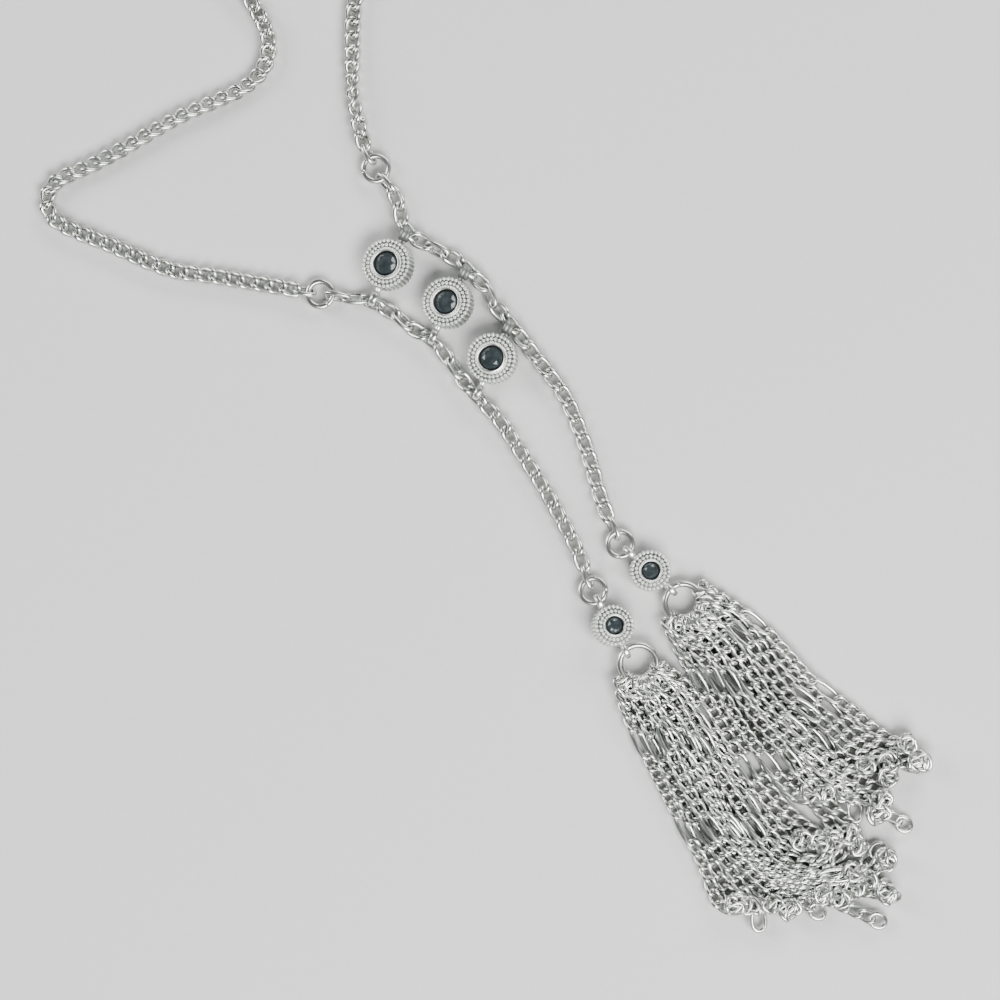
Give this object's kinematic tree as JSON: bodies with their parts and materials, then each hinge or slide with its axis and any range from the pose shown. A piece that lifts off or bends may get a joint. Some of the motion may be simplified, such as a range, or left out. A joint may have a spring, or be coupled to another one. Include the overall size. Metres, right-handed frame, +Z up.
{
  "type": "tassel necklace",
  "caption": "Silver-tone curb chain necklace that drops in a double chain ladder with round stone-set connectors and ends in fine chain tassels; worn round the neck.",
  "frame": {"origin": "centre of the bounding box, on the surface that the necklace lies on", "axes": "+Z up off the surface; +Y from the tassels towards the clasp, along the necklace's length; +X to the right seen from above"},
  "size_m": [0.1782, 0.2812, 0.0065],
  "materials": {
    "silver": "polished silver-tone plating",
    "crystal": "faceted smoky grey-blue glass"
  },
  "bodies": {
    "root": {"neck_chain_left": "silver", "neck_chain_right": "silver", "clasp": "silver", "joining_ring_left": "silver", "joining_ring_right": "silver", "drop_chain_left": "silver", "drop_chain_right": "silver", "connector_1": "silver", "connector_2": "silver", "connector_3": "silver", "drop_ring_left": "silver", "drop_ring_right": "silver", "drop_connector_left": "silver", "drop_connector_right": "silver", "tassel_ring_left": "silver", "tassel_ring_right": "silver", "tassel_left": "silver", "tassel_right": "silver", "stone_1": "crystal", "stone_2": "crystal", "stone_3": "crystal", "drop_stone_left": "crystal", "drop_stone_right": "crystal"}
  },
  "joints": []
}
